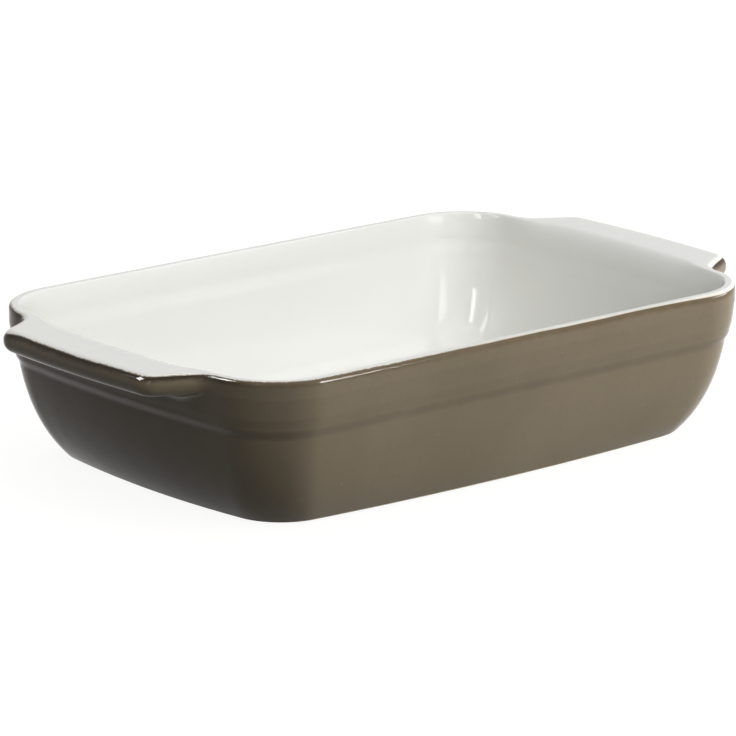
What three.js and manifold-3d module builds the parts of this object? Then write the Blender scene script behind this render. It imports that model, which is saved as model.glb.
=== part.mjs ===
// Rectangular stoneware baking dish with two end handles, white glaze inside and taupe glaze outside.
// Millimetres, +Z up. The origin is at the middle of the foot and the handles point along X.
import * as THREE from 'three';
import { mergeVertices } from 'three/addons/utils/BufferGeometryUtils.js';
import Module from 'manifold-3d';

const wasm = await Module();
wasm.setup();

// Overall size of the glazed dish
const TUB_LENGTH = 345;
const TUB_WIDTH = 236;
const HEIGHT = 80;
const RIM_CORNER_RADIUS = 40.5;
const RIM_END_BOW = 3.8;
const RIM_SIDE_BOW = 0.2;

// Walls and floor
const WALL = 7;
const FLOOR = 6.5;
const LIP_OUTER_RADIUS = 3.1;
const LIP_INNER_RADIUS = 3.3;
const LIP_BREAK_ANGLE = 62;
const LIP_MIDDLE = 0.6;
const RIM_FALL_ANGLES = [0, 35, 65, 90];

// Profile of the lower wall: where its curve bends, as shares of the flare and of its height.
// It leaves the foot at about 45 degrees and steepens towards the step.
const OUTSIDE_BEND = new THREE.Vector2(0.23, 0.34);
const INSIDE_BEND_HIGH = new THREE.Vector2(0.17, 0.45);
const INSIDE_BEND_LOW = new THREE.Vector2(0.45, 0);

// How far the foot stands in from the rim, and its plan
const END_FLARE = 24.2;
const SIDE_FLARE = 19.3;
const FOOT_CORNER_RADIUS = 30;
const FOOT_END_BOW = 4.7;
const FOOT_SIDE_BOW = 5;
const FOOT_RING_WIDTH = 9;
const FOOT_RECESS = 2;
const FOOT_EDGE_ROUNDING = 0.8;
const BARE_FOOT_HEIGHT = 1.2;

// Band below the rim, and the step under it
const BAND_DRAFT = 2.5;
const BAND_CURVE = 1.5;
const BAND_BELOW_HANDLE = 6.5;
const STEP_DEPTH = 2.6;
const STEP_RISE = 4;
const STEP_BULGE = 0.35;

// Inside of the wall: the lean of its upper band, the soft ledge below that, and the flat of the floor
const INNER_BAND_DRAFT = 1.3;
const LEDGE_DROP = 15;
const LEDGE_RISE = 7;
const LEDGE_DEPTH = 2.4;
const LEDGE_TOP_SHARE = 0.08;
const LEDGE_MIDDLE_SHARE = 0.5;
const FLOOR_MARGIN = 15;

// Handles
const HANDLE_REACH = 26;
const HANDLE_WIDTH = 130;
const HANDLE_THICKNESS = 11.6;
const HANDLE_EDGE_RADIUS = 5.6;
const HANDLE_CORNER_RADIUS = 13;
const HANDLE_ROOT_RADIUS = 11;
const HANDLE_TOP_RADIUS = 8;
const HANDLE_HOLLOW = 8;
const HANDLE_SIDE_SPLAY = 30;
const HANDLE_BOW = 1.8;
const MOST_CORNER_SHARE = 0.55;
const MOST_ROOT_SHARE = 0.45;

// Rings on the handle's underside: the share of its reach, of its hollow still to climb, and of the
// plain band's height beside them. Under the edge, the band's rings lie at shares of its thickness.
const UNDERSIDE = [
  { reach: 0.14, hang: 0.32, band: 0.4 },
  { reach: 0.6, hang: 0.04, band: 0 },
];
const UNDERSIDE_INSET = 0.7;
const CHIN_MIDDLE_ANGLE = 45;
const CHIN_BAND = 0.8;
const CHIN_MIDDLE_BAND = 0.65;

// Glaze coats, and the joint between tub and lug
const GLAZE = 0.5;
const GLAZE_BOND = 0.05;
const GLAZE_PARTING = 0.3;
const LUG_SEAT_DEPTH = 3;
const LUG_SEAT_MARGIN = 1.2;
const SLIP_JOINT = 0.3;

// Stations along a quarter of the plan, and curve steps of the walls
const HANDLE_FRONT_STEPS = 2;
const HANDLE_CORNER_STEPS = 3;
const HANDLE_ROOT_STEPS = 3;
const RIM_CORNER_STEPS = 5;
const LONG_SIDE_STEPS = 2;
const WALL_STEPS = 4;

const SKIN = GLAZE + GLAZE_BOND;
const STEP_DROP = HANDLE_THICKNESS + HANDLE_HOLLOW + BAND_BELOW_HANDLE;
const FLOOR_TOP = FOOT_RECESS + FLOOR;
const END_STEPS = HANDLE_FRONT_STEPS + HANDLE_CORNER_STEPS + 1 + HANDLE_ROOT_STEPS;

const radians = THREE.MathUtils.degToRad;
const lerp = THREE.MathUtils.lerp;

// A plan outline: half length, half width, corner radius, and the bow of its ends and sides.
const RIM = {
  length: TUB_LENGTH / 2,
  width: TUB_WIDTH / 2,
  corner: RIM_CORNER_RADIUS,
  endBow: RIM_END_BOW,
  sideBow: RIM_SIDE_BOW,
};
const FOOT = {
  length: TUB_LENGTH / 2 - END_FLARE,
  width: TUB_WIDTH / 2 - SIDE_FLARE,
  corner: FOOT_CORNER_RADIUS,
  endBow: FOOT_END_BOW,
  sideBow: FOOT_SIDE_BOW,
};

function inset(plan, distance) {
  return {
    ...plan,
    length: plan.length - distance,
    width: plan.width - distance,
    corner: plan.corner - distance,
  };
}

function between(planA, planB, share) {
  const keys = Object.keys(planA);
  return Object.fromEntries(keys.map((key) => [key, lerp(planA[key], planB[key], share)]));
}

// The arcs of a quarter of a plan: an end arc, a corner arc and a side arc, each tangent to the next.
function quarterArcs({ length, width, corner, endBow, sideBow }) {
  const endRadius = ((width - corner) ** 2 + endBow ** 2) / (2 * endBow);
  const sideRadius = ((length - corner) ** 2 + sideBow ** 2) / (2 * sideBow);
  const endCentre = new THREE.Vector2(length - endRadius, 0);
  const sideCentre = new THREE.Vector2(0, width - sideRadius);

  // The corner's centre is as far from both other centres as their radii less its own.
  const apart = sideCentre.clone().sub(endCentre);
  const gap = apart.length();
  const fromEnd = endRadius - corner;
  const fromSide = sideRadius - corner;
  const along = (gap ** 2 + fromEnd ** 2 - fromSide ** 2) / (2 * gap);
  const across = Math.sqrt(fromEnd ** 2 - along ** 2);
  const direction = apart.divideScalar(gap);
  const normal = new THREE.Vector2(-direction.y, direction.x);
  if (normal.x + normal.y < 0) normal.negate();
  const cornerCentre = endCentre.clone().addScaledVector(direction, along).addScaledVector(normal, across);

  const endAngle = cornerCentre.clone().sub(endCentre).angle();
  const sideAngle = cornerCentre.clone().sub(sideCentre).angle();
  return [
    { centre: endCentre, radius: endRadius, from: 0, to: endAngle },
    { centre: cornerCentre, radius: corner, from: endAngle, to: sideAngle },
    { centre: sideCentre, radius: sideRadius, from: sideAngle, to: Math.PI / 2 },
  ];
}

function onArc({ centre, radius, from, to }, share) {
  const angle = lerp(from, to, share);
  const normal = new THREE.Vector2(Math.cos(angle), Math.sin(angle));
  return { at: centre.clone().addScaledVector(normal, radius), normal };
}

// Where a fillet that follows the handle's side meets an arc of the rim: its centre, and the arc's angle.
function rootOn({ centre, radius }, start, along, fillet) {
  const offset = start.clone().sub(centre);
  const ahead = offset.dot(along);
  const run = -ahead - Math.sqrt(ahead ** 2 - offset.lengthSq() + (radius + fillet) ** 2);
  const root = start.clone().addScaledVector(along, run);
  return { root, angle: root.clone().sub(centre).angle() };
}

// A quarter of the handle's edge in plan, from the middle of its front to its root, and where on the
// rim's arcs that root ends.
function handleEdge() {
  const [endArc, rimCorner] = quarterArcs(RIM);
  const corner = Math.min(HANDLE_CORNER_RADIUS, HANDLE_REACH * MOST_CORNER_SHARE);
  const fillet = Math.min(HANDLE_ROOT_RADIUS, HANDLE_REACH * MOST_ROOT_SHARE);
  const splay = radians(HANDLE_SIDE_SPLAY);
  const sideNormal = new THREE.Vector2(Math.sin(splay), Math.cos(splay));
  const along = new THREE.Vector2(-Math.cos(splay), Math.sin(splay));
  const front = RIM.length + HANDLE_REACH;
  const tip = new THREE.Vector2(front - HANDLE_BOW - corner, HANDLE_WIDTH / 2 - corner);

  const rootStart = tip.clone().addScaledVector(sideNormal, corner + fillet);
  const onEnd = rootOn(endArc, rootStart, along, fillet);
  const rimArc = onEnd.angle > endArc.to ? 1 : 0;
  const { root, angle } = rimArc ? rootOn(rimCorner, rootStart, along, fillet) : onEnd;

  const edge = [];
  for (let step = 0; step < HANDLE_FRONT_STEPS; step++) {
    const share = step / HANDLE_FRONT_STEPS;
    const at = new THREE.Vector2(front - HANDLE_BOW * share ** 2, tip.y * share);
    edge.push({ at, normal: new THREE.Vector2(1, 0) });
  }
  const cornerArc = { centre: tip, radius: corner, from: 0, to: Math.PI / 2 - splay };
  for (let step = 0; step <= HANDLE_CORNER_STEPS; step++) {
    edge.push(onArc(cornerArc, step / HANDLE_CORNER_STEPS));
  }
  const rootArc = { centre: root, radius: fillet, from: 1.5 * Math.PI - splay, to: Math.PI + angle };
  for (let step = 0; step <= HANDLE_ROOT_STEPS; step++) {
    const place = onArc(rootArc, step / HANDLE_ROOT_STEPS);
    edge.push({ at: place.at, normal: place.normal.negate() });
  }
  return { edge, rimArc, angle };
}

// Stations of a quarter: which arc each lies on, how far along it, and its place on the handle's edge.
function quarterStations() {
  const { edge, rimArc, angle } = handleEdge();
  const arcs = quarterArcs(RIM);
  const [endLength, cornerLength] = arcs.map(({ radius, from, to }) => radius * (to - from));
  const rootShare = (angle - arcs[rimArc].from) / (arcs[rimArc].to - arcs[rimArc].from);
  const rootRun = rimArc ? endLength + rootShare * cornerLength : rootShare * endLength;
  const rootEnd = edge[END_STEPS].at.y;
  const stations = [];
  for (let step = 0; step < END_STEPS; step++) {
    const { at, normal } = edge[step];
    const run = (rootRun * (at.y / rootEnd + step / END_STEPS)) / 2;
    const arc = run > endLength ? 1 : 0;
    const share = arc ? (run - endLength) / cornerLength : run / endLength;
    const out = at.distanceTo(onArc(arcs[arc], share).at) / HANDLE_REACH;
    stations.push({ arc, share, handle: at, handleNormal: normal, weight: Math.min(out, 1) });
  }
  for (let step = 0; step < RIM_CORNER_STEPS; step++) {
    const along = lerp(rimArc + rootShare, 2, step / RIM_CORNER_STEPS);
    const arc = Math.floor(along);
    stations.push({ arc, share: along - arc, weight: 0 });
  }
  for (let step = 0; step <= LONG_SIDE_STEPS; step++) {
    stations.push({ arc: 2, share: step / LONG_SIDE_STEPS, weight: 0 });
  }
  return stations;
}

const STATIONS = quarterStations();

// A closed ring from the points of its quarter, mirrored about both axes.
function mirrored(quarter) {
  const last = quarter.length - 1;
  const flip = (point, x, y) => new THREE.Vector3(point.x * x, point.y * y, point.z);
  return [
    ...quarter.slice(0, last).map((point) => flip(point, 1, 1)),
    ...quarter.slice(1).reverse().map((point) => flip(point, -1, 1)),
    ...quarter.slice(0, last).map((point) => flip(point, -1, -1)),
    ...quarter.slice(1).reverse().map((point) => flip(point, 1, -1)),
  ];
}

// A level ring of the tub's wall.
function wallRing(plan, z) {
  const arcs = quarterArcs(plan);
  return mirrored(
    STATIONS.map(({ arc, share }) => {
      const { at } = onArc(arcs[arc], share);
      return new THREE.Vector3(at.x, at.y, z);
    }),
  );
}

// A ring around the rim that runs out over the handles. reach is its share of the way from the rim to
// the handle's edge; plain and handle give how far it lies in from that line and below the rim.
function rimRing({ reach, plain, handle }) {
  const arcs = quarterArcs(RIM);
  return mirrored(
    STATIONS.map((station) => {
      const rim = onArc(arcs[station.arc], station.share);
      const edge = station.handle ?? rim.at;
      const edgeNormal = station.handleNormal ?? rim.normal;
      const normal = rim.normal.clone().lerp(edgeNormal, reach).normalize();
      const inward = lerp(plain.inset, handle.inset, station.weight);
      const at = rim.at.clone().lerp(edge, reach).addScaledVector(normal, -inward);
      return new THREE.Vector3(at.x, at.y, HEIGHT - lerp(plain.drop, handle.drop, station.weight));
    }),
  );
}

// The band leans in towards the step, from below the handle's thickness down.
function bandInset(drop) {
  const share = Math.max(0, (drop - HANDLE_THICKNESS) / (STEP_DROP - HANDLE_THICKNESS));
  return BAND_DRAFT * share ** BAND_CURVE;
}

// Outside of the wall, from the edge of the glaze at the foot up to the band.
function outerWallRings() {
  const shoulder = inset(RIM, BAND_DRAFT + STEP_DEPTH);
  const top = HEIGHT - STEP_DROP - STEP_RISE;
  const curve = new THREE.QuadraticBezierCurve(
    new THREE.Vector2(1, 0),
    new THREE.Vector2(OUTSIDE_BEND.x, OUTSIDE_BEND.y * top),
    new THREE.Vector2(0, top),
  );
  const climb = 2 * OUTSIDE_BEND.y;
  const bend = 1 - climb;
  const glazeEdge = (Math.sqrt(climb ** 2 + (4 * bend * BARE_FOOT_HEIGHT) / top) - climb) / (2 * bend);
  const rings = [];
  for (let step = 0; step <= WALL_STEPS; step++) {
    const place = curve.getPoint(lerp(glazeEdge, 1, step / WALL_STEPS));
    rings.push(wallRing(between(shoulder, FOOT, place.x), place.y));
  }
  const underStep = inset(RIM, BAND_DRAFT + STEP_DEPTH * STEP_BULGE);
  rings.push(wallRing(underStep, HEIGHT - STEP_DROP - STEP_RISE * STEP_BULGE));
  rings.push(wallRing(inset(RIM, BAND_DRAFT), HEIGHT - STEP_DROP));
  return rings;
}

// Where an edge of the given radius stands at an angle: 0 on its upright face, 90 on its top.
function roundEdge(radius, angle) {
  return {
    inset: radius * (1 - Math.cos(radians(angle))),
    drop: radius * (1 - Math.sin(radians(angle))),
  };
}

// From the hollow under the handle round the outer edge of rim and handle, up to the parting of the glazes.
function outerRimRings() {
  const under = HANDLE_THICKNESS;
  const hollow = (share) => under + HANDLE_HOLLOW * share;
  const band = (drop) => ({ inset: bandInset(drop), drop });
  const lip = (angle) => roundEdge(LIP_OUTER_RADIUS, angle);
  const nose = (angle) => roundEdge(HANDLE_EDGE_RADIUS, angle);
  const chin = (angle) => ({ inset: nose(angle).inset, drop: under - nose(angle).drop });
  const rings = [
    { reach: 0, plain: band(hollow(1)), handle: band(hollow(1)) },
    ...UNDERSIDE.map((place) => ({
      reach: place.reach,
      plain: band(hollow(place.band)),
      handle: { inset: HANDLE_EDGE_RADIUS * UNDERSIDE_INSET * place.reach, drop: hollow(place.hang) },
    })),
    { reach: 1, plain: band(under * CHIN_BAND), handle: chin(90) },
    { reach: 1, plain: band(under * CHIN_MIDDLE_BAND), handle: chin(CHIN_MIDDLE_ANGLE) },
  ];
  for (const angle of [0, LIP_BREAK_ANGLE * LIP_MIDDLE, LIP_BREAK_ANGLE]) {
    rings.push({ reach: 1, plain: lip(angle), handle: nose(angle) });
  }
  return rings.map(rimRing);
}

// From the parting of the glazes over the top of rim and handle, and down to the ledge.
function innerRimRings() {
  const partingAngle = (radius) => LIP_BREAK_ANGLE + THREE.MathUtils.radToDeg(GLAZE_PARTING / radius);
  const fall = (radius, angle) => ({
    inset: WALL - radius * (1 - Math.sin(radians(angle))),
    drop: radius * (1 - Math.cos(radians(angle))),
  });
  const inner = (angle) => ({
    reach: 0,
    plain: fall(LIP_INNER_RADIUS, angle),
    handle: fall(HANDLE_TOP_RADIUS, angle),
  });
  const outer = (plainAngle, handleAngle) => ({
    reach: 1,
    plain: roundEdge(LIP_OUTER_RADIUS, plainAngle),
    handle: roundEdge(HANDLE_EDGE_RADIUS, handleAngle),
  });
  return [
    outer(partingAngle(LIP_OUTER_RADIUS), partingAngle(HANDLE_EDGE_RADIUS)),
    outer(90, 90),
    ...RIM_FALL_ANGLES.map(inner),
  ].map(rimRing);
}

// Inside of the wall, over the ledge and down to the flat of the floor.
function innerWallRings() {
  const band = inset(RIM, WALL + INNER_BAND_DRAFT);
  const ledge = inset(band, LEDGE_DEPTH);
  const floor = inset(FOOT, FLOOR_MARGIN);
  const top = HEIGHT - LEDGE_DROP - LEDGE_RISE;
  const depth = top - FLOOR_TOP;
  const curve = new THREE.CubicBezierCurve(
    new THREE.Vector2(0, top),
    new THREE.Vector2(INSIDE_BEND_HIGH.x, FLOOR_TOP + INSIDE_BEND_HIGH.y * depth),
    new THREE.Vector2(INSIDE_BEND_LOW.x, FLOOR_TOP + INSIDE_BEND_LOW.y * depth),
    new THREE.Vector2(1, FLOOR_TOP),
  );
  const rings = [
    wallRing(inset(band, LEDGE_DEPTH * LEDGE_TOP_SHARE), HEIGHT - LEDGE_DROP),
    wallRing(
      inset(band, LEDGE_DEPTH * LEDGE_MIDDLE_SHARE),
      HEIGHT - LEDGE_DROP - LEDGE_RISE * LEDGE_MIDDLE_SHARE,
    ),
  ];
  for (let step = 0; step <= WALL_STEPS; step++) {
    const place = curve.getPoint(step / WALL_STEPS);
    rings.push(wallRing(between(ledge, floor, place.x), place.y));
  }
  return rings;
}

// Outward normals of a run of rings, from the neighbours of each point. The last ring edges a flat floor.
function ringNormals(rings) {
  const count = rings[0].length;
  const walls = rings.slice(0, -1).map((ring, row) =>
    ring.map((_, column) => {
      const next = ring[(column + 1) % count];
      const previous = ring[(column + count - 1) % count];
      const above = rings[row + 1][column];
      const below = rings[Math.max(row - 1, 0)][column];
      const round = next.clone().sub(previous);
      const up = above.clone().sub(below);
      return round.cross(up).normalize();
    }),
  );
  return [...walls, Array(count).fill(new THREE.Vector3(0, 0, 1))];
}

function sunk(rings, normals, depth) {
  return rings.map((ring, row) =>
    ring.map((point, column) => point.clone().addScaledVector(normals[row][column], -depth)),
  );
}

// Triangles over a run of rings, the first of which starts at a vertex; flipped, they face the other way.
function sheet(first, rows, count, flipped = false) {
  const triangles = [];
  const add = (p, q, r) => triangles.push(...(flipped ? [p, r, q] : [p, q, r]));
  for (let row = 0; row < rows - 1; row++) {
    const low = first + row * count;
    const high = low + count;
    for (let column = 0; column < count; column++) {
      const next = (column + 1) % count;
      add(low + column, low + next, high + next);
      add(low + column, high + next, high + column);
    }
  }
  return triangles;
}

// Triangles from a centre to a ring, seen from above as facing up, or flipped.
function fan(centre, first, count, flipped = false) {
  const triangles = [];
  for (let column = 0; column < count; column++) {
    const pair = [first + column, first + ((column + 1) % count)];
    triangles.push(centre, ...(flipped ? pair.reverse() : pair));
  }
  return triangles;
}

function meshGeometry(points, triangles) {
  const geometry = new THREE.BufferGeometry();
  geometry.setAttribute('position', new THREE.Float32BufferAttribute(points.flatMap((p) => p.toArray()), 3));
  geometry.setIndex(triangles);
  return geometry;
}

const middleOf = (ring) => new THREE.Vector3(0, 0, ring[0].z);

// A closed body through rings, capped flat at its first and last ring.
function loft(rings) {
  const count = rings[0].length;
  const last = (rings.length - 1) * count;
  const points = [...rings.flat(), middleOf(rings[0]), middleOf(rings[rings.length - 1])];
  const bottom = rings.length * count;
  return meshGeometry(points, [
    ...sheet(0, rings.length, count),
    ...fan(bottom, 0, count, true),
    ...fan(bottom + 1, last, count),
  ]);
}

// A coat between its face and its back, closed along its edges; a floored coat also covers the floor.
function coat(face, back, floored) {
  const count = face[0].length;
  const rows = face.length;
  const points = [...face.flat(), ...back.flat()];
  const behind = rows * count;
  const last = behind - count;
  const strip = (p, q) => {
    const triangles = [];
    for (let column = 0; column < count; column++) {
      const next = (column + 1) % count;
      triangles.push(p + column, q + column, q + next, p + column, q + next, p + next);
    }
    return triangles;
  };
  const triangles = [
    ...sheet(0, rows, count),
    ...sheet(behind, rows, count, true),
    ...strip(0, behind),
  ];
  if (floored) {
    const centre = points.length;
    points.push(middleOf(face[rows - 1]), middleOf(back[rows - 1]));
    triangles.push(...fan(centre, last, count), ...fan(centre + 1, behind + last, count, true));
  } else {
    triangles.push(...strip(behind + last, last));
  }
  return meshGeometry(points, triangles);
}

function solid(geometry) {
  const bare = geometry.clone();
  bare.deleteAttribute('normal');
  bare.deleteAttribute('uv');
  const merged = mergeVertices(bare);
  return new wasm.Manifold(new wasm.Mesh({
    numProp: 3,
    vertProperties: new Float32Array(merged.attributes.position.array),
    triVerts: new Uint32Array(merged.index.array),
  }));
}

function geometryOf(body) {
  const mesh = body.getMesh();
  const geometry = new THREE.BufferGeometry();
  geometry.setAttribute('position', new THREE.BufferAttribute(mesh.vertProperties, 3));
  geometry.setIndex(new THREE.BufferAttribute(mesh.triVerts, 1));
  return geometry;
}

// The space that a lug takes up at one end of the dish, grown by a clearance on every side.
function lugSpace(side, clearance) {
  const inner = RIM.length - LUG_SEAT_DEPTH - clearance;
  const outer = RIM.length + 2 * HANDLE_REACH;
  const { edge } = handleEdge();
  const width = 2 * (edge[END_STEPS].at.y + LUG_SEAT_MARGIN + clearance);
  const bottom = HEIGHT - HANDLE_THICKNESS - HANDLE_HOLLOW - LUG_SEAT_MARGIN - clearance;
  const top = 2 * HEIGHT;
  const box = new THREE.BoxGeometry(outer - inner, width, top - bottom);
  box.translate((side * (inner + outer)) / 2, 0, (bottom + top) / 2);
  return solid(box);
}

// The glazed surface of the whole dish, and the clay under it.
const outerRings = [...outerWallRings(), ...outerRimRings()];
const innerRings = [...innerRimRings(), ...innerWallRings()];
const glazed = [...outerRings, ...innerRings];
const normals = ringNormals(glazed);
const glazeBack = sunk(glazed, normals, GLAZE);
const clay = sunk(glazed, normals, SKIN);
const parting = outerRings.length;

// The clay below the glaze: a flat foot ring with a rounded edge, round a shallow recess.
function footRings() {
  const bare = inset(FOOT, SKIN);
  return [
    wallRing(inset(bare, FOOT_RING_WIDTH + FOOT_RECESS), FOOT_RECESS + SKIN),
    wallRing(inset(bare, FOOT_RING_WIDTH), 0),
    wallRing(inset(bare, FOOT_EDGE_ROUNDING), 0),
    wallRing(bare, FOOT_EDGE_ROUNDING),
  ];
}

const clayBody = solid(loft([...footRings(), ...clay]));
const outerCoat = coat(glazed.slice(0, parting), glazeBack.slice(0, parting), false);
const innerCoat = coat(glazed.slice(parting), glazeBack.slice(parting), true);

// The coat in the recess stops short of the recess's slope.
function recessCoat() {
  const plan = inset(FOOT, SKIN + FOOT_RING_WIDTH + FOOT_RECESS + GLAZE);
  return [wallRing(plan, FOOT_RECESS), wallRing(plan, FOOT_RECESS + GLAZE)];
}

const BARE_CLAY = new THREE.MeshStandardMaterial({ color: 0xd8c8b0, roughness: 0.85, metalness: 0 });
const WHITE_GLAZE = new THREE.MeshStandardMaterial({ color: 0xe9e9e4, roughness: 0.12, metalness: 0 });
const TAUPE_GLAZE = new THREE.MeshStandardMaterial({ color: 0x7a705e, roughness: 0.14, metalness: 0 });

const dish = new THREE.Group();
function addPiece(name, geometry, material) {
  const mesh = new THREE.Mesh(geometry, material);
  mesh.name = name;
  dish.add(mesh);
}

const tub = clayBody.subtract(lugSpace(-1, SLIP_JOINT)).subtract(lugSpace(1, SLIP_JOINT));
addPiece('stoneware_tub', geometryOf(tub), BARE_CLAY);
addPiece('left_handle_lug', geometryOf(clayBody.intersect(lugSpace(-1, 0))), BARE_CLAY);
addPiece('right_handle_lug', geometryOf(clayBody.intersect(lugSpace(1, 0))), BARE_CLAY);
addPiece('interior_glaze', innerCoat, WHITE_GLAZE);
addPiece('exterior_glaze', outerCoat, TAUPE_GLAZE);
addPiece('underside_glaze', loft(recessCoat()), TAUPE_GLAZE);

export default dish;
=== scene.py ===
import math

import bpy
import numpy as np
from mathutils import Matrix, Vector


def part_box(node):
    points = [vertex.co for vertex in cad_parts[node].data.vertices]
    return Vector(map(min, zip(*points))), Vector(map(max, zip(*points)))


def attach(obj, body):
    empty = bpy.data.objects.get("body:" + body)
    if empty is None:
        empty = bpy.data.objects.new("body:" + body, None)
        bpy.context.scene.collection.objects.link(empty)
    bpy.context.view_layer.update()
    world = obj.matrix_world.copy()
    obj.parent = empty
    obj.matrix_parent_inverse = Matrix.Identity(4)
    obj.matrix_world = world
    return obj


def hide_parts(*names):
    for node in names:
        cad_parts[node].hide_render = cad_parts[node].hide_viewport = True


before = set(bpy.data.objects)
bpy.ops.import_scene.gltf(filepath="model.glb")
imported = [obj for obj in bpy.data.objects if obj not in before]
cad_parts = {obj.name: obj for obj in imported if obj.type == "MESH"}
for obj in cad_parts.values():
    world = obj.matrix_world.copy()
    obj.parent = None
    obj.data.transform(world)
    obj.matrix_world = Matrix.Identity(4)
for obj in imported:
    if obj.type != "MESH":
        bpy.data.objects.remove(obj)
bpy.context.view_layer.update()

# Glazed stoneware baking dish. Metres, +Z up, handles along X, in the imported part's frame.

MM = 0.001

# Sizes that the part's solids have, repeated here
GLAZE = 0.5 * MM
GLAZE_BOND = 0.05 * MM
RIM_CORNER_RADIUS = 40.5 * MM
RIM_END_BOW = 3.8 * MM
RIM_SIDE_BOW = 0.2 * MM
WALL = 7 * MM
END_FLARE = 24.2 * MM
SIDE_FLARE = 19.3 * MM
FOOT_CORNER_RADIUS = 30 * MM
FOOT_END_BOW = 4.7 * MM
FOOT_SIDE_BOW = 5 * MM
FOOT_RING_WIDTH = 9 * MM
FOOT_RECESS = 2 * MM
FOOT_EDGE_ROUNDING = 0.8 * MM
BARE_FOOT_HEIGHT = 1.2 * MM
BAND_DRAFT = 2.5 * MM
BAND_CURVE = 1.5
STEP_DEPTH = 2.6 * MM
FLOOR_MARGIN = 15 * MM
HANDLE_REACH = 26 * MM
HANDLE_WIDTH = 130 * MM
HANDLE_THICKNESS = 11.6 * MM
HANDLE_EDGE_RADIUS = 5.6 * MM
HANDLE_CORNER_RADIUS = 13 * MM
HANDLE_ROOT_RADIUS = 11 * MM
HANDLE_TOP_RADIUS = 8 * MM
HANDLE_HOLLOW = 8 * MM
HANDLE_SIDE_SPLAY = 30.0
HANDLE_BOW = 1.8 * MM
LUG_SEAT_DEPTH = 3 * MM
LUG_SEAT_MARGIN = 1.2 * MM
SLIP_JOINT = 0.3 * MM
OUTSIDE_BEND = (0.23, 0.34)
INSIDE_BEND_HIGH = (0.17, 0.45)
INSIDE_BEND_LOW = (0.45, 0.0)

# Sizes that differ a little from the solids' own: a crisper lip, and a softer step and ledge
LIP_OUTER_RADIUS = 2.3 * MM
LIP_INNER_RADIUS = 2.2 * MM
BAND_BELOW_HANDLE = 5 * MM
STEP_RISE = 7 * MM
INNER_BAND_DRAFT = 1.55 * MM
LEDGE_DROP = 13 * MM
LEDGE_RISE = 11 * MM
LEDGE_DEPTH = 0.85 * MM

# Small forms that only the scene has
FOOT_BEVEL_WIDTH = 0.4 * MM
FOOT_BEVEL_HEIGHT = 0.2 * MM
FOOT_ROUNDING_MIDDLE = 0.3

# Sizes taken from the frame
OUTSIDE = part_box("exterior_glaze")
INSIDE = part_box("interior_glaze")
HALF_LENGTH = OUTSIDE[1].x - HANDLE_REACH
HALF_WIDTH = OUTSIDE[1].y
HEIGHT = INSIDE[1].z
FLOOR_TOP = INSIDE[0].z + GLAZE

# Sizes worked out from these. A drop is measured down from the rim.
SKIN = GLAZE + GLAZE_BOND
ROOT_DROP = HANDLE_THICKNESS + HANDLE_HOLLOW
STEP_DROP = ROOT_DROP + BAND_BELOW_HANDLE
STEP_MIDDLE = HEIGHT - STEP_DROP - STEP_RISE / 2

# The line where the glazes part, in degrees round the edge: 0 on its upright face and 90 on its top.
# It wanders by waves, each given by how many go round the dish, its phase and its share. The white runs
# lower at two places, each given by its middle, its reach and its angle.
BREAK_ANGLE = 58.0
BREAK_WANDER = 3.0
BREAK_WAVES = ((7, 0.6, 1.0), (13, 2.1, 0.7), (29, 0.0, 0.5))
WHITE_RUNS = (
    ((150 * MM, -112 * MM), 70 * MM, 25.0),
    ((-183 * MM, 74 * MM), 38 * MM, 5.0),
)

# Share of the handle's reach over which its root grows to its full thickness
ROOT_BLEND = 0.4

# Where the plain rim has the edges that the handle has: its chin, as a share of the handle's thickness,
# and the foot of its lip, in lip radii
PLAIN_CHIN = 0.8
PLAIN_LIP = 1.15

# The handle's underside from the wall to its chin, in shares of its reach and of its hollow
UNDERSIDE_CURVE = ((0, 1), (0, 0.3), (0.4, 0), (1, 0))

# Fineness of the meshes: steps along a quarter of the plan
HANDLE_FRONT_STEPS = 16
HANDLE_CORNER_STEPS = 12
HANDLE_SIDE_STEPS = 6
HANDLE_ROOT_STEPS = 12
RIM_CORNER_STEPS = 22
LONG_SIDE_STEPS = 24

# Fineness of the meshes: rings on each stretch of the surface, from the foot up and in to the floor
OUTER_WALL_RINGS = 26
STEP_RINGS = 13
BAND_RINGS = 7
UNDERSIDE_RINGS = 16
CHIN_RINGS = 9
LIP_RINGS = 9
EDGE_TOP_RINGS = 8
RIM_TOP_RINGS = 8
INNER_EDGE_RINGS = 20
LEDGE_RINGS = 16
INNER_WALL_RINGS = 30
FLOOR_RINGS = 10

# Share of the way from a floor's edge to its middle at which its last ring lies
LAST_FLOOR_RING = 0.96

# Faces that meet at more than this angle, in degrees, have a sharp edge
SMOOTH_ANGLE = 40


def mix(a, b, share):
    return a + (b - a) * share


def smooth_share(share):
    share = np.clip(share, 0, 1)
    return share * share * (3 - 2 * share)


# Plan outlines: half length, half width, corner radius, bow of the ends and bow of the sides
RIM = np.array([HALF_LENGTH, HALF_WIDTH, RIM_CORNER_RADIUS, RIM_END_BOW, RIM_SIDE_BOW])
FOOT = np.array([
    HALF_LENGTH - END_FLARE,
    HALF_WIDTH - SIDE_FLARE,
    FOOT_CORNER_RADIUS,
    FOOT_END_BOW,
    FOOT_SIDE_BOW,
])


def inset(plan, distance):
    """The plan with its ends, sides and corners moved in by this distance. Its bows stay."""
    return plan - distance * np.array([1, 1, 1, 0, 0])


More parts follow.
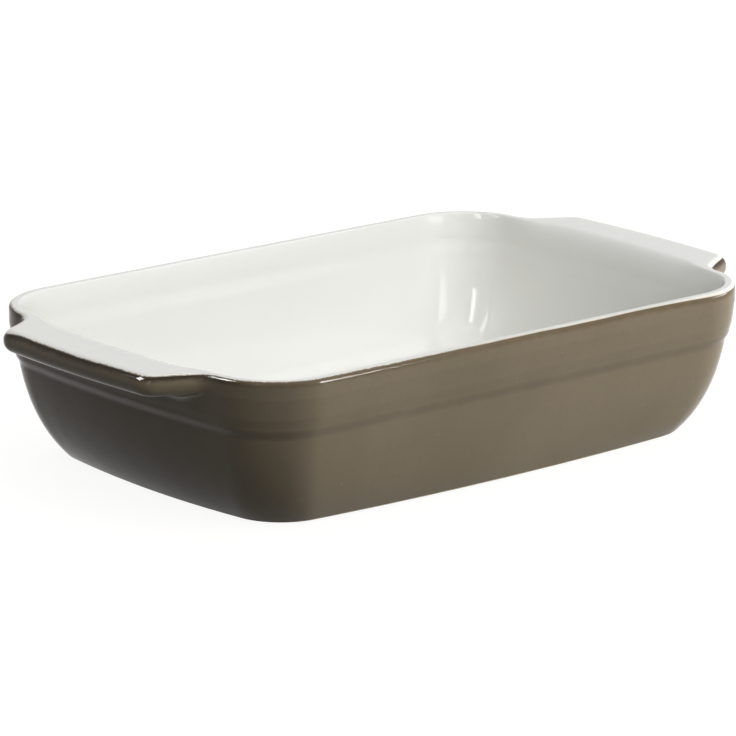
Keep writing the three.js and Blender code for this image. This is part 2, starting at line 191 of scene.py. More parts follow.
def quarter_arcs(plan):
    """The end, corner and side arcs of a quarter of a plan, each tangent to the next."""
    length, width, corner, end_bow, side_bow = plan
    end_radius = ((width - corner) ** 2 + end_bow**2) / (2 * end_bow)
    side_radius = ((length - corner) ** 2 + side_bow**2) / (2 * side_bow)
    end_centre = np.array([length - end_radius, 0.0])
    side_centre = np.array([0.0, width - side_radius])
    apart = side_centre - end_centre
    gap = np.hypot(*apart)
    direction = apart / gap
    normal = np.array([-direction[1], direction[0]])
    normal *= np.sign(normal.sum())
    along = (gap**2 + (end_radius - corner) ** 2 - (side_radius - corner) ** 2) / (2 * gap)
    across = math.sqrt((end_radius - corner) ** 2 - along**2)
    corner_centre = end_centre + along * direction + across * normal
    end_angle = math.atan2(*(corner_centre - end_centre)[::-1])
    side_angle = math.atan2(*(corner_centre - side_centre)[::-1])
    return [
        (end_centre, end_radius, 0.0, end_angle),
        (corner_centre, corner, end_angle, side_angle),
        (side_centre, side_radius, side_angle, math.pi / 2),
    ]


def on_arc(arc, share):
    """Points and normals at these shares of an arc."""
    centre, radius, start, end = arc
    angle = mix(start, end, np.asarray(share, float))
    normal = np.stack([np.cos(angle), np.sin(angle)], -1)
    return centre + radius * normal, normal


def steps(count):
    """Shares from 0 up to, and without, 1."""
    return np.arange(count) / count


def root_on(arc, start, along):
    """Where a fillet that follows the handle's side meets an arc of the rim: its centre and arc angle."""
    centre, radius = arc[:2]
    reach = radius + HANDLE_ROOT_RADIUS
    offset = start - centre
    ahead = offset @ along
    run = -ahead - math.sqrt(ahead**2 - offset @ offset + reach**2)
    root = start + run * along
    return root, math.atan2(*(root - centre)[::-1])


def handle_edge():
    """Points and normals of a quarter of the handle's edge, from its front to its root, and the arc and
    angle of the rim where the root ends."""
    end_arc, corner_arc = quarter_arcs(RIM)[:2]
    splay = math.radians(HANDLE_SIDE_SPLAY)
    side_normal = np.array([math.sin(splay), math.cos(splay)])
    along = np.array([-math.cos(splay), math.sin(splay)])
    front = HALF_LENGTH + HANDLE_REACH
    tip = np.array([front - HANDLE_BOW, HANDLE_WIDTH / 2]) - HANDLE_CORNER_RADIUS
    side_end = tip + HANDLE_CORNER_RADIUS * side_normal
    root_start = side_end + HANDLE_ROOT_RADIUS * side_normal
    rim_arc = 0
    root, root_angle = root_on(end_arc, root_start, along)
    if root_angle > end_arc[3]:
        rim_arc = 1
        root, root_angle = root_on(corner_arc, root_start, along)
    side_start = root - HANDLE_ROOT_RADIUS * side_normal

    run = steps(HANDLE_FRONT_STEPS)
    front_points = np.stack([front - HANDLE_BOW * run**2, tip[1] * run], -1)
    front_normals = np.tile([1.0, 0.0], (len(run), 1))
    tip_arc = (tip, HANDLE_CORNER_RADIUS, 0.0, math.pi / 2 - splay)
    corner_points, corner_normals = on_arc(tip_arc, steps(HANDLE_CORNER_STEPS))
    run = steps(HANDLE_SIDE_STEPS)[:, None]
    side_points = mix(side_end, side_start, run)
    side_normals = np.tile(side_normal, (len(run), 1))
    root_arc = (root, HANDLE_ROOT_RADIUS, 1.5 * math.pi - splay, math.pi + root_angle)
    root_points, root_normals = on_arc(root_arc, steps(HANDLE_ROOT_STEPS))
    points = np.concatenate([front_points, corner_points, side_points, root_points])
    normals = np.concatenate([front_normals, corner_normals, side_normals, -root_normals])
    return points, normals, rim_arc, root_angle


class Stations:
    """Where the points of every ring lie along a quarter of the plan. Behind the handle they are halfway
    between even steps and steps that keep level with the points of the handle's edge."""

    def __init__(self):
        edge, edge_normals, root_arc, root_angle = handle_edge()
        ends = len(edge)
        arcs = quarter_arcs(RIM)
        lengths = [radius * (stop - start) for _, radius, start, stop in arcs]
        root_share = (root_angle - arcs[root_arc][2]) / (arcs[root_arc][3] - arcs[root_arc][2])
        root_y = on_arc(arcs[root_arc], root_share)[0][1]
        root_length = root_share * lengths[root_arc] + root_arc * lengths[0]
        run = root_length * (edge[:, 1] / root_y + steps(ends)) / 2
        on_corner = run > lengths[0]
        end_share = np.where(on_corner, (run - lengths[0]) / lengths[1], run / lengths[0])
        rest = mix(root_arc + root_share, 2, steps(RIM_CORNER_STEPS))
        rest_arc = np.floor(rest).astype(int)
        side_share = np.arange(LONG_SIDE_STEPS + 1) / LONG_SIDE_STEPS
        self.arc = np.concatenate([on_corner.astype(int), rest_arc, np.full(len(side_share), 2)])
        self.share = np.concatenate([end_share, rest - rest_arc, side_share])
        self.rim, self.rim_normal = self.on_plan(RIM)
        self.edge = self.rim.copy()
        self.edge[:ends] = edge
        self.edge_normal = self.rim_normal.copy()
        self.edge_normal[:ends] = edge_normals
        reached = np.linalg.norm(self.edge - self.rim, axis=1) / HANDLE_REACH
        self.reached = np.where(np.arange(len(reached)) < ends, np.clip(reached, 0, 1), 0)

    def on_plan(self, plan):
        """Points and normals of the stations on a plan outline."""
        points = np.zeros((len(self.arc), 2))
        normals = np.zeros((len(self.arc), 2))
        for index, arc in enumerate(quarter_arcs(plan)):
            here = self.arc == index
            points[here], normals[here] = on_arc(arc, self.share[here])
        return points, normals


def mirrored(quarter):
    """A closed ring from its quarter, mirrored about both axes. Columns after x and y keep their sign."""
    kept = [1] * (quarter.shape[1] - 2)
    last = len(quarter) - 1
    return np.concatenate([
        quarter[:last],
        quarter[:0:-1] * [-1, 1, *kept],
        quarter[:last] * [-1, -1, *kept],
        quarter[:0:-1] * [1, -1, *kept],
    ])


STATIONS = Stations()
RIM_LINE = mirrored(STATIONS.rim)
RIM_OUT = mirrored(STATIONS.rim_normal)
EDGE = mirrored(STATIONS.edge)
EDGE_OUT = mirrored(STATIONS.edge_normal)
REACHED = mirrored(np.column_stack([STATIONS.rim, STATIONS.reached]))[:, 2]
GRIP = smooth_share(REACHED / ROOT_BLEND)


def break_angles():
    """Where the glazes part, at each point of a ring."""
    turn = np.arctan2(EDGE[:, 1], EDGE[:, 0])
    wander = sum(share * np.sin(count * turn + phase) for count, phase, share in BREAK_WAVES)
    angles = BREAK_ANGLE + BREAK_WANDER * wander
    for middle, reach, low in WHITE_RUNS:
        away = np.linalg.norm(EDGE - middle, axis=1)
        angles = mix(angles, low, smooth_share(1 - away / reach))
    return angles


BREAK = break_angles()


def wall_ring(plan, z):
    """A level ring along a plan outline."""
    points = STATIONS.on_plan(plan)[0]
    return mirrored(np.column_stack([points, np.full(len(points), z)]))


def rim_ring(plain, handle, on_edge=True):
    """A ring round the rim and out over the handles. plain and handle are (inset, drop) pairs from the
    rim line, or on the handle from its edge."""
    line, out, share = (EDGE, EDGE_OUT, GRIP) if on_edge else (RIM_LINE, RIM_OUT, REACHED)
    inward = mix(plain[0], handle[0], share)[:, None]
    return np.column_stack([line - inward * out, HEIGHT - mix(plain[1], handle[1], share)])


def bezier(points, share):
    """A point on a Bezier curve of any degree."""
    points = np.asarray(points, float)
    while len(points) > 1:
        points = mix(points[:-1], points[1:], share)
    return points[0]


def band_inset(drop):
    """How far the band outside leans in at this drop below the rim."""
    share = max(0.0, (drop - HANDLE_THICKNESS) / (STEP_DROP - HANDLE_THICKNESS))
    return BAND_DRAFT * share**BAND_CURVE


def outer_wall_rings():
    """Outside of the wall, from the glaze's lower edge up to the band under the handles."""
    shoulder = inset(RIM, BAND_DRAFT + STEP_DEPTH)
    top = HEIGHT - STEP_DROP - STEP_RISE
    curve = [(1, 0), (OUTSIDE_BEND[0], OUTSIDE_BEND[1] * top), (0, top)]
    climb = 2 * OUTSIDE_BEND[1]
    bend = 1 - climb
    glaze_edge = (math.sqrt(climb**2 + 4 * bend * BARE_FOOT_HEIGHT / top) - climb) / (2 * bend)
    rings = []
    for share in np.linspace(glaze_edge, 1, OUTER_WALL_RINGS):
        flare, z = bezier(curve, share)
        rings.append(wall_ring(mix(shoulder, FOOT, flare), z))
    for share in np.linspace(0, 1, STEP_RINGS)[1:]:
        depth = BAND_DRAFT + STEP_DEPTH * (1 - smooth_share(share))
        rings.append(wall_ring(inset(RIM, depth), top + STEP_RISE * share))
    for drop in np.linspace(STEP_DROP, ROOT_DROP, BAND_RINGS)[1:-1]:
        rings.append(wall_ring(inset(RIM, band_inset(drop)), HEIGHT - drop))
    return rings


def round_edge(radius, angle):
    """(inset, drop) on a rounded edge: angle 0 is its upright face and 90 its top."""
    turn = np.radians(angle)
    return radius * (1 - np.cos(turn)), radius * (1 - np.sin(turn))


def edge_ring(angle):
    """The ring at this angle round the outer edge of lip and handle."""
    return rim_ring(round_edge(LIP_OUTER_RADIUS, angle), round_edge(HANDLE_EDGE_RADIUS, angle))


def hollow_rings():
    """From the wall under the handle out along its underside, and up the plain band elsewhere."""
    chin_drop = mix(PLAIN_CHIN, 1.0, GRIP) * HANDLE_THICKNESS
    chin = EDGE - HANDLE_EDGE_RADIUS * GRIP[:, None] * EDGE_OUT
    start = RIM_LINE - band_inset(ROOT_DROP) * RIM_OUT
    rings = []
    for share in np.linspace(0, 1, UNDERSIDE_RINGS)[:-1]:
        reach, hang = bezier(UNDERSIDE_CURVE, share)
        drop = mix(chin_drop, ROOT_DROP, mix(1 - share, hang, GRIP))
        out = mix(share, reach, GRIP)[:, None]
        rings.append(np.column_stack([mix(start, chin, out), HEIGHT - drop]))
    return rings


def outer_rim_rings():
    """Round the outer edge of rim and handle, from the underside up to where the glazes part."""
    rings = hollow_rings()
    for angle in np.linspace(90, 0, CHIN_RINGS)[:-1]:
        edge_inset, edge_drop = round_edge(HANDLE_EDGE_RADIUS, angle)
        plain_drop = mix(LIP_OUTER_RADIUS * PLAIN_LIP, PLAIN_CHIN * HANDLE_THICKNESS, angle / 90)
        rings.append(rim_ring((0, plain_drop), (edge_inset, HANDLE_THICKNESS - edge_drop)))
    for share in np.linspace(0, 1, LIP_RINGS):
        rings.append(edge_ring(BREAK * share))
    return rings


def inner_draft(drop):
    """How far the wall inside leans in at this drop below the rim."""
    return INNER_BAND_DRAFT * drop / LEDGE_DROP


def inner_rim_rings():
    """From where the glazes part, over the top of rim and handle, and in one curve down to the ledge."""
    rings = []
    for share in np.linspace(0, 1, EDGE_TOP_RINGS):
        rings.append(edge_ring(mix(BREAK, 90, share)))

    def fall(angle):
        """The ring at this angle round the inner edge: 0 on top and 90 on the upright face."""
        turn = math.radians(angle)
        drop = LEDGE_DROP * (1 - math.cos(turn))
        insets = [
            mix(WALL - radius, WALL, math.sin(turn)) + inner_draft(drop)
            for radius in (LIP_INNER_RADIUS, HANDLE_TOP_RADIUS)
        ]
        return rim_ring((insets[0], drop), (insets[1], drop), on_edge=False)

    outer_top = rings[-1]
    for share in np.linspace(0, 1, RIM_TOP_RINGS)[1:-1]:
        rings.append(mix(outer_top, fall(0), share))
    return rings + [fall(angle) for angle in np.linspace(0, 90, INNER_EDGE_RINGS)]


def inner_wall_rings():
    """Inside of the wall, over the ledge and down to the flat of the floor."""
    rings = []
    for share in np.linspace(0, 1, LEDGE_RINGS)[1:-1]:
        drop = LEDGE_DROP + LEDGE_RISE * share
        depth = WALL + inner_draft(drop) + LEDGE_DEPTH * smooth_share(share)
        rings.append(wall_ring(inset(RIM, depth), HEIGHT - drop))
    bottom = LEDGE_DROP + LEDGE_RISE
    ledge = inset(RIM, WALL + inner_draft(bottom) + LEDGE_DEPTH)
    floor = inset(FOOT, FLOOR_MARGIN)
    top = HEIGHT - bottom
    depth = top - FLOOR_TOP
    curve = [
        (0, top),
        (INSIDE_BEND_HIGH[0], FLOOR_TOP + INSIDE_BEND_HIGH[1] * depth),
        (INSIDE_BEND_LOW[0], FLOOR_TOP + INSIDE_BEND_LOW[1] * depth),
        (1, FLOOR_TOP),
    ]
    for share in np.linspace(0, 1, INNER_WALL_RINGS):
        flare, z = bezier(curve, share)
        rings.append(wall_ring(mix(ledge, floor, flare), z))
    return rings


def ring_normals(rings):
    """Normals at the points of the rings. The last ring lies on the flat floor, so its own point up."""
    round_the_ring = np.roll(rings, -1, 1) - np.roll(rings, 1, 1)
    up = np.gradient(rings, axis=0)
    normals = np.cross(round_the_ring, up)
    normals /= np.linalg.norm(normals, axis=2, keepdims=True)
    normals[-1] = (0, 0, 1)
    return normals


OUTER = outer_wall_rings() + outer_rim_rings()
INNER = inner_rim_rings() + inner_wall_rings()
PARTING = len(OUTER)
GLAZED = np.array(OUTER + INNER)
NORMALS = ring_normals(np.array(OUTER + INNER[1:]))
NORMALS = np.concatenate([NORMALS[:PARTING], NORMALS[PARTING - 1:]])


def distance_from(rings):
    """How far each point of the rings lies from the first ring, along the surface."""
    gaps = np.linalg.norm(np.diff(rings, axis=0), axis=2)
    return np.concatenate([np.zeros((1, rings.shape[1])), np.cumsum(gaps, axis=0)])


# Mesh making
def sheet_quads(first, rows, count, flipped=False):
    """Faces between each ring and the next, for rings that follow on from the first vertex."""
    quads = []
    for row in range(rows - 1):
        low = first + row * count
        high = low + count
        for column in range(count):
            beyond = (column + 1) % count
            quad = [low + column, low + beyond, high + beyond, high + column]
            quads.append(quad[::-1] if flipped else quad)
    return quads


def strip_quads(first, second, count):
    """Faces between two rings that start at these vertices."""
    following = [(column + 1) % count for column in range(count)]
    return [
        [first + column, second + column, second + beyond, first + beyond]
        for column, beyond in enumerate(following)
    ]


def add_piece(name, points, faces, material):
    mesh = bpy.data.meshes.new(name)
    mesh.from_pydata([tuple(p) for p in points], [], faces)
    mesh.validate()
    piece = bpy.data.objects.new(name, mesh)
    bpy.context.scene.collection.objects.link(piece)
    mesh.polygons.foreach_set("use_smooth", [True] * len(mesh.polygons))
    mesh.set_sharp_from_angle(angle=math.radians(SMOOTH_ANGLE))
    mesh.materials.append(material)
    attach(piece, "root")
    return piece


def floor_rings(edge):
    """Rings across a flat floor, from its edge ring to near its middle."""
    middle = np.array([0, 0, edge[0][2]])
    return [mix(edge, middle, share) for share in np.linspace(0, LAST_FLOOR_RING, FLOOR_RINGS)[1:]]


def plate_faces(first, rows, count, flipped=False):
    """A sheet of rings that closes with one face at its last ring."""
    last = [first + (rows - 1) * count + column for column in range(count)]
    return sheet_quads(first, rows, count, flipped) + [last[::-1] if flipped else last]


def closed_faces(rings):
    """Faces of a skin of rings that closes with one face at either end."""
    count = len(rings[0])
    first = list(range(count))[::-1]
    return [first] + plate_faces(0, len(rings), count)


def coat_mesh(face, back, floored):
    """Points and faces of a glaze coat between its face and its back."""
    face = list(face)
    back = list(back)
    if floored:
        face += floor_rings(face[-1])
        back += floor_rings(back[-1])
    rows = len(face)
    count = len(face[0])
    behind = rows * count
    points = np.concatenate([*face, *back])
    if floored:
        faces = plate_faces(0, rows, count) + plate_faces(behind, rows, count, flipped=True)
    else:
        faces = sheet_quads(0, rows, count) + sheet_quads(behind, rows, count, flipped=True)
        faces += strip_quads(2 * behind - count, behind - count, count)
    return points, faces + strip_quads(0, behind, count)


def mark_line(piece, distances):
    """Keep each point's distance from the glaze line, for the material."""
    half = len(piece.data.vertices) // 2
    values = np.full(half, distances.max())
    values[:distances.size] = distances.ravel()
    marks = piece.data.attributes.new("from_line", "FLOAT", "POINT")
    marks.data.foreach_set("value", np.concatenate([values, values]).astype(np.float32))


# Colours
TAUPE_DEEP = (0.178, 0.146, 0.097, 1)
TAUPE_PALE = (0.200, 0.165, 0.113, 1)
TAUPE_FLECK = (0.130, 0.098, 0.058, 1)
TAUPE_SPECK = (0.380, 0.330, 0.250, 1)
# Painted shade for the crease of the step
TAUPE_STEP_SHADE = (0.090, 0.070, 0.044, 1)
BREAK_BROWN = (0.036, 0.023, 0.011, 1)
RUST_BROWN = (0.138, 0.104, 0.062, 1)
WHITE_DEEP = (0.845, 0.848, 0.805, 1)
WHITE_PALE = (0.868, 0.868, 0.835, 1)
CREAM = (0.66, 0.61, 0.50, 1)
FRINGE_BROWN = (0.16, 0.12, 0.075, 1)
CLAY_DEEP = (0.52, 0.41, 0.28, 1)
CLAY_PALE = (0.66, 0.55, 0.41, 1)

# Gloss. The taupe's is low, so that it stays as dark in the white studio as it is.
TAUPE_GLOSS = {"Roughness": 0.11, "IOR": 1.35, "Specular IOR Level": 0.16}
WHITE_GLOSS = {"Roughness": 0.1, "IOR": 1.5}
CLAY_GLOSS = {"Roughness": 0.85}

# Relief: how deep the glazes ripple and the clay is rough, and how many ripples go into a metre
TAUPE_RIPPLE = 0.22 * MM
WHITE_RIPPLE = 0.2 * MM
CLAY_GRIT = 0.2 * MM
RIPPLES = 55.0
GRITS = 900.0

# Drifts and marks. A grain is a pattern's scale, a range is where the pattern turns from one colour to
# the other, and an amount is how far it turns.
TAUPE_GRAIN = 9.0
WHITE_GRAIN = 7.0
CLAY_GRAIN = 120.0
GLAZE_RANGE = (0.35, 0.65)
CLAY_RANGE = (0.3, 0.7)
FLECK_GRAIN = 420.0
FLECK_RANGE = (0.45, 0.75)
FLECK_AMOUNT = 0.12
SPECK_GRAIN = 85.0
SPECK_RANGE = (0.035, 0.02)
SPECK_AMOUNT = 0.6
# Painted shade in the crease of the step: its reach, core, grain, range and amount
STEP_SHADE_REACH = 0.6 * STEP_RISE
STEP_SHADE_CORE = 0.3
STEP_SHADE_GRAIN = 60.0
STEP_SHADE_RANGE = (0.25, 0.6)
STEP_SHADE_AMOUNT = 0.12

# The glaze line in the materials. Widths are distances from it and sways are how far it wanders, both in
# millimetres. Spans are places along X.
LINE_GRAIN = 180.0
FRAY_GRAIN = 700.0
BREAK_WIDTH = (1.0, 4.2)
BREAK_SWAY = 1.0
STRONG_BREAK_SPAN = (158 * MM, 176 * MM)
CREAM_WIDTH = (0.0, 1.8)
CREAM_SWAY = 0.6
FRINGE_WIDTH = (0.8, 0.1)
FRINGE_SWAY = 1.1
FRINGE_SPAN = (20 * MM, -90 * MM)


# Materials
class Nodes:
    """A new node material, with short calls for the nodes used here."""

    def __init__(self, name):
        self.material = bpy.data.materials.new(name)
        self.material.use_nodes = True
        self.tree = self.material.node_tree
        self.shader = self.tree.nodes["Principled BSDF"]

    def add(self, kind, inputs=None, **settings):
        node = self.tree.nodes.new(kind)
        for key, value in settings.items():
            setattr(node, key, value)
        for key, value in (inputs or {}).items():
            self.put(node.inputs[key], value)
        return node

    def put(self, socket, value):
        if isinstance(value, bpy.types.NodeSocket):
            self.tree.links.new(value, socket)
        else:
            socket.default_value = value

    def set(self, inputs):
        for key, value in inputs.items():
            self.put(self.shader.inputs[key], value)

    def place(self):
        return self.add("ShaderNodeTexCoord").outputs["Object"]

    def noise(self, scale, detail=3.0, roughness=0.5):
        inputs = {"Vector": self.place(), "Scale": scale, "Detail": detail, "Roughness": roughness}
        return self.add("ShaderNodeTexNoise", inputs).outputs["Fac"]

    def ramp(self, fac, low, high):
        """0 below low, 1 above high, smooth between."""
        inputs = {"Value": fac, "From Min": low, "From Max": high}
        return self.add("ShaderNodeMapRange", inputs, interpolation_type="SMOOTHSTEP").outputs["Result"]

    def blend(self, fac, first, second):
        node = self.add("ShaderNodeMix", data_type="RGBA")
        self.put(node.inputs["Factor"], fac)
        self.put(node.inputs["A"], first)
        self.put(node.inputs["B"], second)
        return node.outputs["Result"]

    def math(self, operation, *values):
        return self.add("ShaderNodeMath", dict(enumerate(values)), operation=operation).outputs[0]

    def along(self, axis):
        return self.add("ShaderNodeSeparateXYZ", {"Vector": self.place()}).outputs[axis]

    def near(self, value, middle, reach, core):
        """1 within this core, a share of the reach, about the middle, falling to 0 at the reach."""
        away = self.math("ABSOLUTE", self.math("SUBTRACT", value, middle))
        return self.ramp(away, reach, core * reach)

    def spots(self, scale):
        """Distance from scattered points, in cells of this scale."""
        inputs = {"Vector": self.place(), "Scale": scale}
        return self.add("ShaderNodeTexVoronoi", inputs).outputs["Distance"]

    def bump(self, height, distance):
        inputs = {"Height": height, "Distance": distance, "Strength": 1.0}
        return self.add("ShaderNodeBump", inputs).outputs["Normal"]

    def from_line(self, sway, grain=LINE_GRAIN):
        """Distance from the glaze line in millimetres, wandering by this sway at this grain."""
        away = self.add("ShaderNodeAttribute", attribute_name="from_line").outputs["Fac"]
        aside = self.math("SUBTRACT", self.noise(grain, roughness=0.6), 0.5)
        shift = self.math("MULTIPLY", aside, 2 * sway)
        return self.math("ADD", self.math("DIVIDE", away, MM), shift)


def taupe_glaze(lined):
    """Gloss taupe. If it is lined, it has painted shade along the step, and breaks to brown at the glaze
    line:
    dark on the handles, and rust along the sides."""
    n = Nodes("taupe_glaze")
    drift = n.ramp(n.noise(TAUPE_GRAIN, detail=4.0), *GLAZE_RANGE)
    body = n.blend(drift, TAUPE_DEEP, TAUPE_PALE)
    fleck = n.ramp(n.noise(FLECK_GRAIN, roughness=0.6), *FLECK_RANGE)
    body = n.blend(n.math("MULTIPLY", fleck, FLECK_AMOUNT), body, TAUPE_FLECK)
    speck = n.ramp(n.spots(SPECK_GRAIN), *SPECK_RANGE)
    body = n.blend(n.math("MULTIPLY", speck, SPECK_AMOUNT), body, TAUPE_SPECK)
    if lined:
        # Painted shade: darker about the middle of the step, where the band's overhang shades the wall
        step_shade = n.near(n.along("Z"), STEP_MIDDLE, STEP_SHADE_REACH, STEP_SHADE_CORE)
        step_shade = n.math("MULTIPLY", step_shade, n.ramp(n.noise(STEP_SHADE_GRAIN), *STEP_SHADE_RANGE))
        body = n.blend(n.math("MULTIPLY", step_shade, STEP_SHADE_AMOUNT), body, TAUPE_STEP_SHADE)
        away = n.from_line(BREAK_SWAY)
        strong = n.ramp(n.math("ABSOLUTE", n.along("X")), *STRONG_BREAK_SPAN)
        edge = n.blend(strong, RUST_BROWN, BREAK_BROWN)
        body = n.blend(n.ramp(away, *BREAK_WIDTH), edge, body)
    ripple = n.bump(n.noise(RIPPLES, detail=2.0), TAUPE_RIPPLE)
    n.set({"Base Color": body, "Normal": ripple, **TAUPE_GLOSS})
    return n.material


def white_glaze():
    """Gloss white, thinning to cream at its edge, which frays to brown towards the left end."""
    n = Nodes("white_glaze")
    drift = n.ramp(n.noise(WHITE_GRAIN), *GLAZE_RANGE)
    body = n.blend(drift, WHITE_DEEP, WHITE_PALE)
    body = n.blend(n.ramp(n.from_line(CREAM_SWAY), *CREAM_WIDTH), CREAM, body)
    frayed = n.ramp(n.from_line(FRINGE_SWAY, FRAY_GRAIN), *FRINGE_WIDTH)
    leftward = n.ramp(n.along("X"), *FRINGE_SPAN)
    body = n.blend(n.math("MULTIPLY", frayed, leftward), body, FRINGE_BROWN)
    ripple = n.bump(n.noise(RIPPLES, detail=2.0), WHITE_RIPPLE)
    n.set({"Base Color": body, "Normal": ripple, **WHITE_GLOSS})
    return n.material


def bare_stoneware():
    """Fired clay, matt and gritty."""
    n = Nodes("bare_stoneware")
    drift = n.ramp(n.noise(CLAY_GRAIN, detail=5.0, roughness=0.65), *CLAY_RANGE)
    body = n.blend(drift, CLAY_DEEP, CLAY_PALE)
    grit = n.bump(n.noise(GRITS, detail=4.0, roughness=0.7), CLAY_GRIT)
    n.set({"Base Color": body, "Normal": grit, **CLAY_GLOSS})
    return n.material


# Pieces
def exterior_glaze():
    face = GLAZED[:PARTING]
    back = face - GLAZE * NORMALS[:PARTING]
    piece = add_piece("taupe_exterior_glaze", *coat_mesh(face, back, False), taupe_glaze(True))
    mark_line(piece, distance_from(face[::-1])[::-1])
    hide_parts("exterior_glaze")
    return piece


def interior_glaze():
    face = GLAZED[PARTING:]
    back = face - GLAZE * NORMALS[PARTING:]
    piece = add_piece("white_interior_glaze", *coat_mesh(face, back, True), white_glaze())
    mark_line(piece, distance_from(face))
    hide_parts("interior_glaze")
    return piece


def clay_body():
    """The whole clay under the glaze, before the lugs are parted from the tub."""
    bare = inset(FOOT, SKIN)
    rounding_middle = FOOT_ROUNDING_MIDDLE * FOOT_EDGE_ROUNDING
    foot = [
        wall_ring(inset(bare, FOOT_RING_WIDTH + FOOT_RECESS), FOOT_RECESS + SKIN),
        wall_ring(inset(bare, FOOT_RING_WIDTH + FOOT_BEVEL_WIDTH), FOOT_BEVEL_HEIGHT),
        wall_ring(inset(bare, FOOT_RING_WIDTH), 0),
        wall_ring(inset(bare, FOOT_EDGE_ROUNDING), 0),
        wall_ring(inset(bare, rounding_middle), rounding_middle),
        wall_ring(bare, FOOT_EDGE_ROUNDING),
    ]
    skin = np.delete(GLAZED - SKIN * NORMALS, PARTING, axis=0)
    rings = floor_rings(foot[0])[::-1] + foot + list(skin) + floor_rings(skin[-1])
    return np.concatenate(rings), closed_faces(rings)


def lug_space(side, clearance):
    """A box round the lug at one end, grown by this clearance where it meets the tub."""
    inner = HALF_LENGTH - LUG_SEAT_DEPTH - clearance
    outer = HALF_LENGTH + 2 * HANDLE_REACH
    half = HALF_WIDTH - RIM_CORNER_RADIUS + HANDLE_ROOT_RADIUS + clearance
    bottom = HEIGHT - ROOT_DROP - LUG_SEAT_MARGIN - clearance
    bpy.ops.mesh.primitive_cube_add(size=1)
    box = bpy.context.object
    box.scale = (outer - inner, 2 * half, HEIGHT)
    box.location = (side * (inner + outer) / 2, 0, bottom + HEIGHT / 2)
    return box


def cut(piece, box, operation):
    modifier = piece.modifiers.new("cut", "BOOLEAN")
    modifier.object = box
    modifier.operation = operation
    modifier.solver = "EXACT"
    bpy.context.view_layer.objects.active = piece
    bpy.ops.object.modifier_apply(modifier=modifier.name)
    bpy.data.objects.remove(box)


def clay_pieces():
    points, faces = clay_body()
    clay = bare_stoneware()
    for name, side, node in (
        ("clay_left_lug", -1, "left_handle_lug"),
        ("clay_right_lug", 1, "right_handle_lug"),
    ):
        lug = add_piece(name, points, faces, clay)
        cut(lug, lug_space(side, 0), "INTERSECT")
        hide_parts(node)
    tub = add_piece("clay_tub", points, faces, clay)
    for side in (-1, 1):
        cut(tub, lug_space(side, SLIP_JOINT), "DIFFERENCE")
    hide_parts("stoneware_tub")


def underside_glaze():
    plan = inset(FOOT, SKIN + FOOT_RING_WIDTH + FOOT_RECESS + GLAZE)
    low = wall_ring(plan, FOOT_RECESS)
    high = wall_ring(plan, FOOT_RECESS + GLAZE)
    rings = floor_rings(low)[::-1] + [low, high] + floor_rings(high)
    points = np.concatenate(rings)
    piece = add_piece("taupe_underside_glaze", points, closed_faces(rings), taupe_glaze(False))
    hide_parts("underside_glaze")


# Stage: floor, camera and lights. The floor lies just under the foot, so that the two aren't flush.
FLOOR_SIZE = 60
FLOOR_DROP = 0.2 * MM
FLOOR_COLOUR = (0.115, 0.107, 0.096, 1)
FLOOR_LIFT = 0.915
FLOOR_ROUGHNESS = 0.9
WHITE = (1, 1, 1, 1)
WORLD_LIGHT = 0.06
CAMERA_AZIMUTH = -39.85
CAMERA_ELEVATION = 14.98
CAMERA_DISTANCE = 2.66533
CAMERA_LENS = 250.48
CAMERA_CLIP_END = 100
CAMERA_TARGET = Vector((0, 0, 0.042))
CAMERA_AIM_RIGHT = -0.00359
CAMERA_AIM_UP = -0.00333
LIT_POINT = Vector((0, 0, 0.05))
STUDIO = 8
CLOSE = 1.5


def seen_rays(tree):
    """1 on the rays that show the background: camera, glossy and transmission rays."""
    rays = tree.nodes.new("ShaderNodeLightPath")
    seen = rays.outputs["Is Camera Ray"]
    for kind in ("Is Glossy Ray", "Is Transmission Ray"):
        either = tree.nodes.new("ShaderNodeMath")
        either.operation = "MAXIMUM"
        tree.links.new(seen, either.inputs[0])
        tree.links.new(rays.outputs[kind], either.inputs[1])
        seen = either.outputs[0]
    return seen


def stage_floor():
    """A pale floor that is white where it is fully lit, and keeps the dish's shadow."""
    n = Nodes("floor")
    n.set({"Base Color": FLOOR_COLOUR, "Roughness": FLOOR_ROUGHNESS, "Emission Color": WHITE})
    n.set({"Emission Strength": n.math("MULTIPLY", seen_rays(n.tree), FLOOR_LIFT)})
    bpy.ops.mesh.primitive_plane_add(size=FLOOR_SIZE, location=(0, 0, -FLOOR_DROP))
    floor = bpy.context.object
    floor.name = "floor"
    floor.data.materials.append(n.material)


def bearing(azimuth, elevation):
    """A direction out from the dish: azimuth 0 is towards -Y, 90 towards +X."""
    turn = math.radians(azimuth)
    rise = math.radians(elevation)
    level = math.cos(rise)
    return Vector((math.sin(turn) * level, -math.cos(turn) * level, math.sin(rise)))


def add_camera():
    back = bearing(CAMERA_AZIMUTH, CAMERA_ELEVATION)
    azimuth = math.radians(CAMERA_AZIMUTH)
    right = Vector((math.cos(azimuth), math.sin(azimuth), 0))
    up = back.cross(right)
    data = bpy.data.cameras.new("camera")
    data.lens = CAMERA_LENS
    data.clip_end = CAMERA_CLIP_END
    camera = bpy.data.objects.new("camera", data)
    bpy.context.scene.collection.objects.link(camera)
    camera.location = CAMERA_TARGET + CAMERA_DISTANCE * back
    aim = CAMERA_TARGET + CAMERA_AIM_RIGHT * right + CAMERA_AIM_UP * up
    camera.rotation_euler = (aim - camera.location).to_track_quat("-Z", "Y").to_euler()
    bpy.context.scene.camera = camera


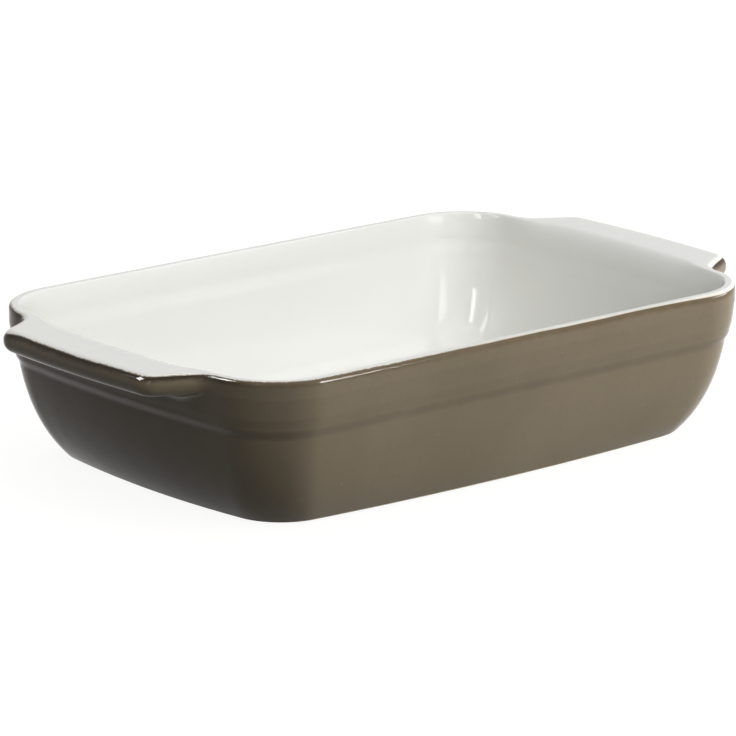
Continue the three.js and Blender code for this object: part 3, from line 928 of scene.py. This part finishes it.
def add_softbox(name, azimuth, elevation, distance, size, level, lights=True, shows=True, only=None):
    """A softbox that faces the dish. level is how bright a white card looks that faces it there. It may
    light the dish, show as a highlight on it, or both, and may reach one piece only."""
    direction = bearing(azimuth, elevation)
    light = bpy.data.lights.new(name, "AREA")
    light.shape = "RECTANGLE"
    light.size = size[0]
    light.size_y = size[1]
    light.energy = level * 4 * math.pi * distance**2
    lamp = bpy.data.objects.new(name, light)
    bpy.context.scene.collection.objects.link(lamp)
    lamp.location = LIT_POINT + distance * direction
    lamp.rotation_euler = (-direction).to_track_quat("-Z", "Y").to_euler()
    lamp.visible_camera = False
    lamp.visible_diffuse = lights
    lamp.visible_glossy = shows
    if only is not None:
        reached = bpy.data.collections.new(name)
        reached.objects.link(only)
        lamp.light_linking.receiver_collection = reached


def add_lights(outside, inside):
    """Light from above, in front and the right, a fill for the inner walls, and lamps that only show as
    highlights."""
    add_softbox("low_card", 60, 0, CLOSE, (0.8, 0.09), 0.73)
    add_softbox("top_softbox", 20, 84, STUDIO, (12, 12), 0.64)
    add_softbox("front_softbox", 9, 27, STUDIO, (8, 3), 0.40, shows=False)
    add_softbox("key_reflector", 18, 24, STUDIO, (4.2, 3.4), 0.13, lights=False)
    add_softbox("wall_fill", -32, 12, STUDIO, (4, 2), 0.105, shows=False, only=inside)
    add_softbox("side_strip", -67, 37, STUDIO, (1.3, 4.2), 0.15, lights=False)
    add_softbox("far_strip", -110, 40, STUDIO, (1.3, 3.6), 0.08, lights=False, only=inside)
    add_softbox("rim_card", 26, 12, CLOSE, (0.34, 0.75), 2.16, lights=False, only=outside)
    add_softbox("back_lamp", -121, 42, 0.99, (0.35, 0.34), 2.7, lights=False, only=outside)


def add_world():
    """Low light all round, and white where the background shows."""
    world = bpy.data.worlds.new("studio")
    world.use_nodes = True
    tree = world.node_tree
    background = tree.nodes["Background"]
    background.inputs["Color"].default_value = WHITE
    strength = tree.nodes.new("ShaderNodeMapRange")
    strength.inputs["To Min"].default_value = WORLD_LIGHT
    tree.links.new(seen_rays(tree), strength.inputs["Value"])
    tree.links.new(strength.outputs["Result"], background.inputs["Strength"])
    bpy.context.scene.world = world


add_camera()
outside = exterior_glaze()
inside = interior_glaze()
clay_pieces()
underside_glaze()
stage_floor()
add_lights(outside, inside)
add_world()
bpy.context.scene.view_settings.view_transform = "Standard"
